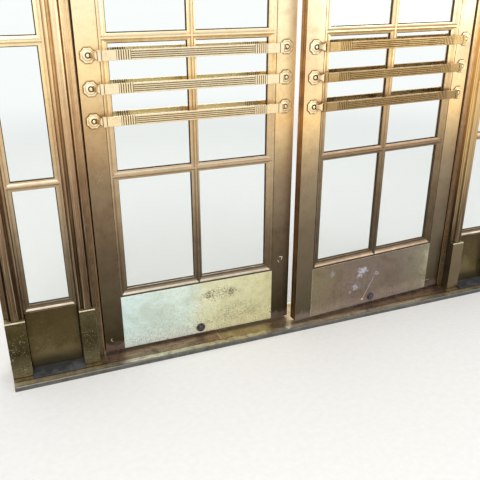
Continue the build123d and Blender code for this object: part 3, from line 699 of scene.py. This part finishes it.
def make_materials():
    """Every material, by the name that NODE_MATERIALS and add_fittings use."""
    # The settings below also give each metal its share of painted shade on side faces and in hollows, and of
    # painted highlights with wear on edges and upward faces
    return {
        "frame": aged_metal_with_painted_light("frame_brass", FRAME_HEIGHTS, STREAKED_GRAIN, hollow_reach=0.005, flanks=0.0,
                            streaked=0.8, rubbed_glint=0.9, shade=(0.55, 0.42, 0.30, 1),
                            rub_glint_tone=paint(255, 238, 204), extra=golden_casings),
        "head": aged_metal_with_painted_light("head_brass", FRAME_HEIGHTS, LEVEL_GRAIN, hollow_reach=0.006, flanks=0.6),
        "post": aged_metal_with_painted_light("post_brass", FRAME_HEIGHTS, STREAKED_GRAIN, (0.96, 0.90, 0.82, 1),
                           hollow_reach=0.004, hollow_range=(0.66, 0.26), flanks=0.0, streaked=0.8,
                           shade=(0.62, 0.50, 0.38, 1), extra=specks_and_shaded_rebate),
        "plinth": aged_metal_with_painted_light("plinth_brass", PLINTH_HEIGHTS, UPRIGHT_GRAIN, OLIVE, 0.5, mottled=0.8,
                             flanks=0.1, rub_glint_tone=paint(206, 200, 172), sheen=0.42, upward_glint=0.8,
                             extra=browner_plinths),
        "panel": aged_metal_with_painted_light("panel_brass", PANEL_HEIGHTS, EVEN_GRAIN, OLIVE, 0.5, mottled=0.3,
                            rub_glint_tone=paint(190, 180, 140), sheen=0.34, extra=panel_specks_and_reflection),
        "left_hinge_stile": stile_metal("left_hinge_stile_brass", LEAF_HEIGHTS, left_stile_marks),
        "left_meeting_stile": stile_metal("left_meeting_stile_brass", MIDDLE_HEIGHTS, left_meeting_marks,
                                          flanks=0.0),
        "right_hinge_stile": stile_metal("right_hinge_stile_brass", MIDDLE_HEIGHTS, right_stile_marks),
        "right_meeting_stile": stile_metal("right_meeting_stile_brass", MIDDLE_HEIGHTS, right_meeting_marks,
                                           flanks=0.0),
        "rail": aged_metal_with_painted_light("rail_brass", LEAF_HEIGHTS, LEVEL_GRAIN, RUST, extra=rubbed_foot),
        "glazing": aged_metal_with_painted_light("glazing_bar_brass", GLAZING_HEIGHTS, EVEN_GRAIN, RUST, 0.3, hollow_reach=0.004,
                              rub_glint_tone=paint(232, 220, 200), rubbed_glint=0.8, flanks=0.35, upward_glint=0.75),
        "dull_glazing": aged_metal_with_painted_light("dull_glazing_bar_brass", LEAF_HEIGHTS, EVEN_GRAIN, RUST, 0.4,
                                   hollow_reach=0.004, rub_glint_tone=paint(186, 158, 134), rubbed_glint=0.6, flanks=0.5,
                                   upward_glint=0.8),
        "bright_bar": aged_metal_with_painted_light("bright_guard_bar_brass", BAR_HEIGHTS, LEVEL_GRAIN, (0.84, 0.70, 0.58, 1),
                                 hollow_reach=0.0045, hollow_range=BAR_HOLLOWS, rub_glint_tone=paint(255, 246, 222),
                                 rubbed_glint=0.8, sheen=0.26, flanks=0.4, shade=FLUTE_SHADE),
        "dull_bar": aged_metal_with_painted_light("dull_guard_bar_brass", DULL_BAR_HEIGHTS, LEVEL_GRAIN,
                               (0.80, 0.66, 0.50, 1), 0.5,
                               hollow_reach=0.0045, hollow_range=BAR_HOLLOWS, rub_glint_tone=paint(226, 198, 150),
                               rubbed_glint=0.7, sheen=0.26, flanks=0.4, mottled=0.7, shade=FLUTE_SHADE),
        "rosette": aged_metal_with_painted_light("rosette_brass", BAR_HEIGHTS, EVEN_GRAIN, (0.80, 0.66, 0.52, 1),
                              hollow_reach=0.0055, hollow_range=(0.97, 0.70), rub_glint_tone=paint(255, 240, 208),
                              rubbed_glint=0.1, sheen=0.40, flanks=1.0, shade=FLUTE_SHADE, extra=shaded_outline),
        "bright_plate": plate_metal(
            "bright_plate_brass",
            [(0.0, paint(224, 244, 242)), (0.42, paint(230, 244, 234)), (0.56, paint(236, 236, 200)),
             (1.0, paint(230, 225, 180))],
            (-0.829, -0.093), paint(206, 204, 184), 0.30, paint(150, 146, 134), bright_plate_marks),
        "dull_plate": plate_metal(
            "dull_plate_brass",
            [(0.0, paint(140, 132, 104)), (0.10, paint(140, 128, 104)), (0.35, paint(134, 118, 106)),
             (0.75, paint(134, 122, 110)), (0.95, paint(148, 142, 122)), (1.0, paint(184, 178, 150))],
            (0.068, 0.829), paint(196, 176, 156), 0.34, paint(140, 126, 132), dull_plate_marks),
        "cover": cover_metal(),
        "threshold": threshold_metal(),
        "stone": ledge_stone(),
        "lock": lock_metal(),
        "steel": turned_steel(),
        "glass": clear_glass(),
        "seal": woven_pile(),
        "compound": glazing_compound(),
    }


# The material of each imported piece, by its name or by its name without its side
NODE_MATERIALS = {
    "threshold": "threshold", "pivot_cover": "cover", "outer_jamb": "post", "mullion": "post",
    "jamb_casings": "frame", "mullion_casings": "frame", "head_casings": "head",
    "plinth_blocks": "plinth", "frame_head": "head", "sidelight_ledge": "stone", "sidelight_panel": "panel",
    "sidelight_glazing_bars": "glazing", "sidelight_glass": "glass",
    "right_leaf_glazing_bars": "dull_glazing",
    "left_leaf_hinge_stile": "left_hinge_stile", "left_leaf_meeting_stile": "left_meeting_stile",
    "right_leaf_hinge_stile": "right_hinge_stile", "right_leaf_meeting_stile": "right_meeting_stile",
    "left_leaf_kick_plates": "bright_plate", "right_leaf_kick_plates": "dull_plate",
    "leaf_top_rail": "rail", "leaf_bottom_rail": "rail", "leaf_glazing_bars": "glazing",
    "leaf_glass": "glass", "left_leaf_guard_bars": "bright_bar", "right_leaf_guard_bars": "dull_bar",
    "leaf_rosettes": "rosette", "leaf_floor_lock": "lock", "leaf_pivots": "steel",
}


def dress_nodes(nodes, materials):
    """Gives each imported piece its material."""
    for name, node in nodes.items():
        plain = name.split("_", 1)[1] if name.startswith(("left_", "right_")) else name
        chosen = materials[NODE_MATERIALS.get(name) or NODE_MATERIALS[plain]]
        if not node.material_slots:
            node.data.materials.append(chosen)
        for slot in node.material_slots:
            slot.material = chosen


class Skin:
    """Points and faces of one new piece, drawn for the left side."""

    def __init__(self):
        self.points = []
        self.faces = []

    def sweep(self, loops, capped=True):
        """Joins outlines that have the same number of points, one after another."""
        start = len(self.points)
        count = len(loops[0])
        for loop in loops:
            self.points += loop
        for step in range(len(loops) - 1):
            near = start + step * count
            for index in range(count):
                after = (index + 1) % count
                self.faces.append((near + index, near + after, near + count + after, near + count + index))
        if capped:
            self.faces.append(tuple(range(start, start + count)))
            self.faces.append(tuple(range(start + (len(loops) - 1) * count, start + len(loops) * count)))

    def place(self, name, body, material, side, slot):
        """Makes the piece, mirrored on the right and turned as the leaf stands on the right leaf."""
        points = [Vector(point) for point in self.points]
        if side == "right":
            points = [Vector((-point.x, point.y, point.z)) for point in points]
        if body == "right_leaf":
            pivot = Vector((PIVOT_X, 0, 0))
            ajar = Matrix.Rotation(radians(LEAF_AJAR), 3, "Z")
            points = [pivot + ajar @ (point - pivot) for point in points]
        mesh = bpy.data.meshes.new(name)
        mesh.from_pydata(points, [], self.faces)
        shell = bmesh.new()
        shell.from_mesh(mesh)
        bmesh.ops.remove_doubles(shell, verts=shell.verts, dist=1e-6)
        bmesh.ops.recalc_face_normals(shell, faces=shell.faces)
        shell.to_mesh(mesh)
        shell.free()
        mesh.materials.append(material)
        piece = bpy.data.objects.new(name, mesh)
        bpy.context.scene.collection.objects.link(piece)
        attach(piece, body)


def pile_strip(skin, base_x, tip_x, middle_y, half_width, z_range):
    """An upright seal: a flat backing and a tapered pile whose crest sways a little."""
    backing = base_x + (tip_x - base_x) * BACKING_DEPTH
    foot, crest = half_width * PILE_FOOT, half_width * PILE_CREST
    loops = []
    steps = round((z_range[1] - z_range[0]) / PILE_STEP)
    for step in range(steps + 1):
        z = z_range[0] + (z_range[1] - z_range[0]) * step / steps
        sway = PILE_SWAY * sin(SWAY_TURN * step) if 0 < step < steps else 0.0
        outline = [(base_x, -half_width), (backing, -half_width), (backing, -foot), (tip_x, -crest + sway),
                   (tip_x, crest + sway), (backing, foot), (backing, half_width), (base_x, half_width)]
        loops.append([(x, middle_y + y, z) for x, y in outline])
    skin.sweep(loops)


def compound_rings(glass, columns):
    """Beads of compound round every pane, on both faces, mitred at the corners."""
    low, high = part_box(glass)
    width = (high[0] - low[0] - (columns - 1) * BAR_WIDTH) / columns
    height = (high[2] - low[2] - (PANE_ROWS - 1) * BAR_WIDTH) / PANE_ROWS
    near = HALF_GLASS + COMPOUND_LIFT
    outline = ((0.0, near), (0.0, near + COMPOUND_RISE), (COMPOUND_REACH * 0.35, near + COMPOUND_RISE * 0.45),
               (COMPOUND_REACH, near))
    skin = Skin()
    for column in range(columns):
        left = low[0] + column * (width + BAR_WIDTH)
        for row in range(PANE_ROWS):
            bottom = low[2] + row * (height + BAR_WIDTH)
            corners = ((left, bottom, 1, 1), (left + width, bottom, -1, 1),
                       (left + width, bottom + height, -1, -1), (left, bottom + height, 1, -1))
            for face in (-1, 1):
                loops = [[(x + to_x * inward, face * depth, z + to_z * inward) for inward, depth in outline]
                         for x, z, to_x, to_z in corners]
                skin.sweep(loops + loops[:1], capped=False)
    return skin


def cover_screws(cover):
    """Slotted countersunk heads along both edges of a pivot cover, each slot turned its own way."""
    low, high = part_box(cover)
    skin = Skin()
    gap = asin(SCREW_SLOT / 2 / SCREW_RADIUS)
    for index in range(SCREWS_ALONG):
        x = low[0] + SCREW_MARGIN + index * (high[0] - low[0] - 2 * SCREW_MARGIN) / (SCREWS_ALONG - 1)
        for side, y in ((0, low[1] + SCREW_MARGIN), (1, high[1] - SCREW_MARGIN)):
            turn = SLOT_TURN[0] * index + SLOT_TURN[1] * side
            for half in (0, pi):
                angles = [half + gap + step * (pi - 2 * gap) / ROUND_STEPS for step in range(ROUND_STEPS + 1)]
                rim = [(SCREW_RADIUS * cos(angle), SCREW_RADIUS * sin(angle)) for angle in angles]
                middle = (0, SCREW_RADIUS * 0.45 * sin(half + pi / 2))
                loops = []
                for share, rise in SCREW_SECTION:
                    loop = [(middle[0] + (u - middle[0]) * share, middle[1] + (v - middle[1]) * share)
                            for u, v in rim]
                    loops.append([(x + u * cos(turn) - v * sin(turn), y + u * sin(turn) + v * cos(turn),
                                   high[2] + rise * SCREW_HEIGHT) for u, v in loop])
                skin.sweep(loops)
    return skin


def lock_cores(lock):
    """The turned core in each floor lock, with its keyway, on both faces."""
    low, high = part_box(lock)
    x, z = (low[0] + high[0]) / 2, (low[2] + high[2]) / 2
    angles = [2 * pi * step / ROUND_STEPS for step in range(ROUND_STEPS)]
    rim = [(CORE_RADIUS * cos(angle), CORE_RADIUS * sin(angle)) for angle in angles]
    keyway = [(KEYWAY_HALF[0] * copysign(abs(cos(angle)) ** 0.4, cos(angle)),
               KEYWAY_HALF[1] * copysign(abs(sin(angle)) ** 0.4, sin(angle))) for angle in angles]
    skin = Skin()
    for face, side in ((low[1], -1), (high[1], 1)):
        loops = []
        for outline, share, rise in ((rim, 1.0, 0.0), (rim, 1.0, 0.6), (rim, 0.93, 1.0), (keyway, 1.0, 1.0),
                                     (keyway, 1.0, 0.0)):
            y = face + side * rise * CORE_HEIGHT
            loops.append([(x + share * u, y, z + share * v) for u, v in outline])
        skin.sweep(loops, capped=False)
    return skin


def add_fittings(materials):
    """Seals, glazing compound, cover screws and lock cores, on the left and mirrored on the right."""
    stile_low, stile_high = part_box("left_leaf_meeting_stile")
    leaf_z = (stile_low[2], stile_high[2])
    post_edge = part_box("left_mullion")[1][0]
    edge_seal = Skin()
    pile_strip(edge_seal, stile_high[0] - GROOVE_DEPTH, stile_high[0] + PILE_STAND, 0, GROOVE_SEAL_HALF,
               leaf_z)
    heel_seal = Skin()
    for face in (-1, 1):
        pile_strip(heel_seal, post_edge, post_edge + HEEL_SEAL_REACH, face * HEEL_SEAL_PLACE,
                   HEEL_SEAL_HALF, leaf_z)
    leaf_compound = compound_rings("left_leaf_glass", LEAF_PANE_COLUMNS)
    light_compound = compound_rings("left_sidelight_glass", 1)
    screws = cover_screws("left_pivot_cover")
    cores = lock_cores("left_leaf_floor_lock")
    for side in ("left", "right"):
        leaf = side + "_leaf"
        edge_seal.place(leaf + "_edge_seal", leaf, materials["seal"], side, "pile_seal")
        heel_seal.place(side + "_heel_seal", "frame", materials["seal"], side, "pile_seal")
        leaf_compound.place(leaf + "_glazing_compound", leaf, materials["compound"], side, "glazing_compound")
        light_compound.place(side + "_sidelight_glazing_compound", "frame", materials["compound"], side,
                             "glazing_compound")
        screws.place(side + "_cover_screws", "frame", materials["lock"], side, "cover_bronze")
        cores.place(leaf + "_lock_cores", leaf, materials["lock"], side, "lock_metal")


def add_camera():
    """The photograph's camera: turned right of the door's normal, dipped, and shifted a little."""
    data = bpy.data.cameras.new("camera")
    data.lens = LENS
    data.shift_x, data.shift_y = SHIFT
    camera = bpy.data.objects.new("camera", data)
    bpy.context.scene.collection.objects.link(camera)
    turn = Matrix.Rotation(radians(-CAMERA_TURN), 4, "Z")
    dip = Matrix.Rotation(radians(90 - CAMERA_DIP), 4, "X")
    roll = Matrix.Rotation(radians(CAMERA_ROLL), 4, "Z")
    camera.matrix_world = Matrix.Translation(CAMERA_PLACE) @ turn @ dip @ roll
    bpy.context.scene.camera = camera


def add_lamp(name, place, target, size, power, tint):
    """A soft rectangular lamp that looks at a point."""
    data = bpy.data.lights.new(name, "AREA")
    data.shape = "RECTANGLE"
    data.size, data.size_y = size
    data.energy = power
    data.color = tint
    lamp = bpy.data.objects.new(name, data)
    bpy.context.scene.collection.objects.link(lamp)
    aim = Vector(target) - Vector(place)
    lamp.matrix_world = Matrix.Translation(place) @ aim.to_track_quat("-Z", "Y").to_matrix().to_4x4()


def plainly_seen(tree):
    """1 for a camera ray and for what metal and glass show, 0 for light on matt surfaces."""
    path = tree.nodes.new("ShaderNodeLightPath").outputs
    seen = path["Is Camera Ray"]
    for kind in ("Is Glossy Ray", "Is Transmission Ray"):
        either = tree.nodes.new("ShaderNodeMath")
        either.operation = "MAXIMUM"
        tree.links.new(seen, either.inputs[0])
        tree.links.new(path[kind], either.inputs[1])
        seen = either.outputs[0]
    return seen


def pale_floor():
    """A matt floor that keeps shadows near the door and grows as plain as the world far away."""
    shader = Shader("pale_floor")
    colour = shader.ramp(shader.noise(40.0, 3.0), [(NOISE_SPAN[0], (0.80, 0.80, 0.79, 1)),
                                                   (NOISE_SPAN[1], (0.84, 0.84, 0.83, 1))])
    distance = shader.node("ShaderNodeVectorMath", operation="LENGTH")
    shader.put(distance.inputs[0], shader.place)
    far = shader.spread(distance.outputs["Value"], *FLOOR_FADE, smooth=True)
    share = shader.times(far, plainly_seen(shader.tree))
    colour = shader.mix(share, colour, (0, 0, 0, 1))
    return shader.finish(colour, 0.9, None, 0.0, Emission_Color=(1, 1, 1, 1),
                         Emission_Strength=shader.times(share, FLOOR_SEEN))


def add_world():
    """A white world that shows plainly behind the door and in its metal."""
    world = bpy.data.worlds.new("surroundings")
    bpy.context.scene.world = world
    world.use_nodes = True
    tree = world.node_tree
    tree.nodes.clear()
    strength = tree.nodes.new("ShaderNodeMapRange")
    strength.inputs["To Min"].default_value = WORLD_LIGHT
    strength.inputs["To Max"].default_value = WORLD_SEEN
    tree.links.new(plainly_seen(tree), strength.inputs["Value"])
    background = tree.nodes.new("ShaderNodeBackground")
    background.inputs["Color"].default_value = (1, 1, 1, 1)
    tree.links.new(strength.outputs[0], background.inputs["Strength"])
    output = tree.nodes.new("ShaderNodeOutputWorld")
    tree.links.new(background.outputs[0], output.inputs[0])


def add_floor():
    mesh = bpy.data.meshes.new("floor")
    corners = [(x * FLOOR_REACH, y * FLOOR_REACH, 0) for x, y in ((-1, -1), (1, -1), (1, 1), (-1, 1))]
    mesh.from_pydata(corners, [], [(0, 1, 2, 3)])
    mesh.materials.append(pale_floor())
    floor = bpy.data.objects.new("floor", mesh)
    bpy.context.scene.collection.objects.link(floor)


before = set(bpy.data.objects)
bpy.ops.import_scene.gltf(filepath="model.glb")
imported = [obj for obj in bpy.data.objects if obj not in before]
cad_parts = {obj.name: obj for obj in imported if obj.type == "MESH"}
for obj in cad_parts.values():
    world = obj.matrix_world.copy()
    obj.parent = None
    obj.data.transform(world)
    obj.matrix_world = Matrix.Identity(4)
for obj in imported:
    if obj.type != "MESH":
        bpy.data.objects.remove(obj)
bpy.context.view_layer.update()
bpy.context.scene.view_settings.view_transform = "Standard"
materials = make_materials()
dress_nodes(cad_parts, materials)
add_fittings(materials)
add_camera()
add_world()
for name, settings in LAMPS.items():
    add_lamp(name, *settings)
add_floor()
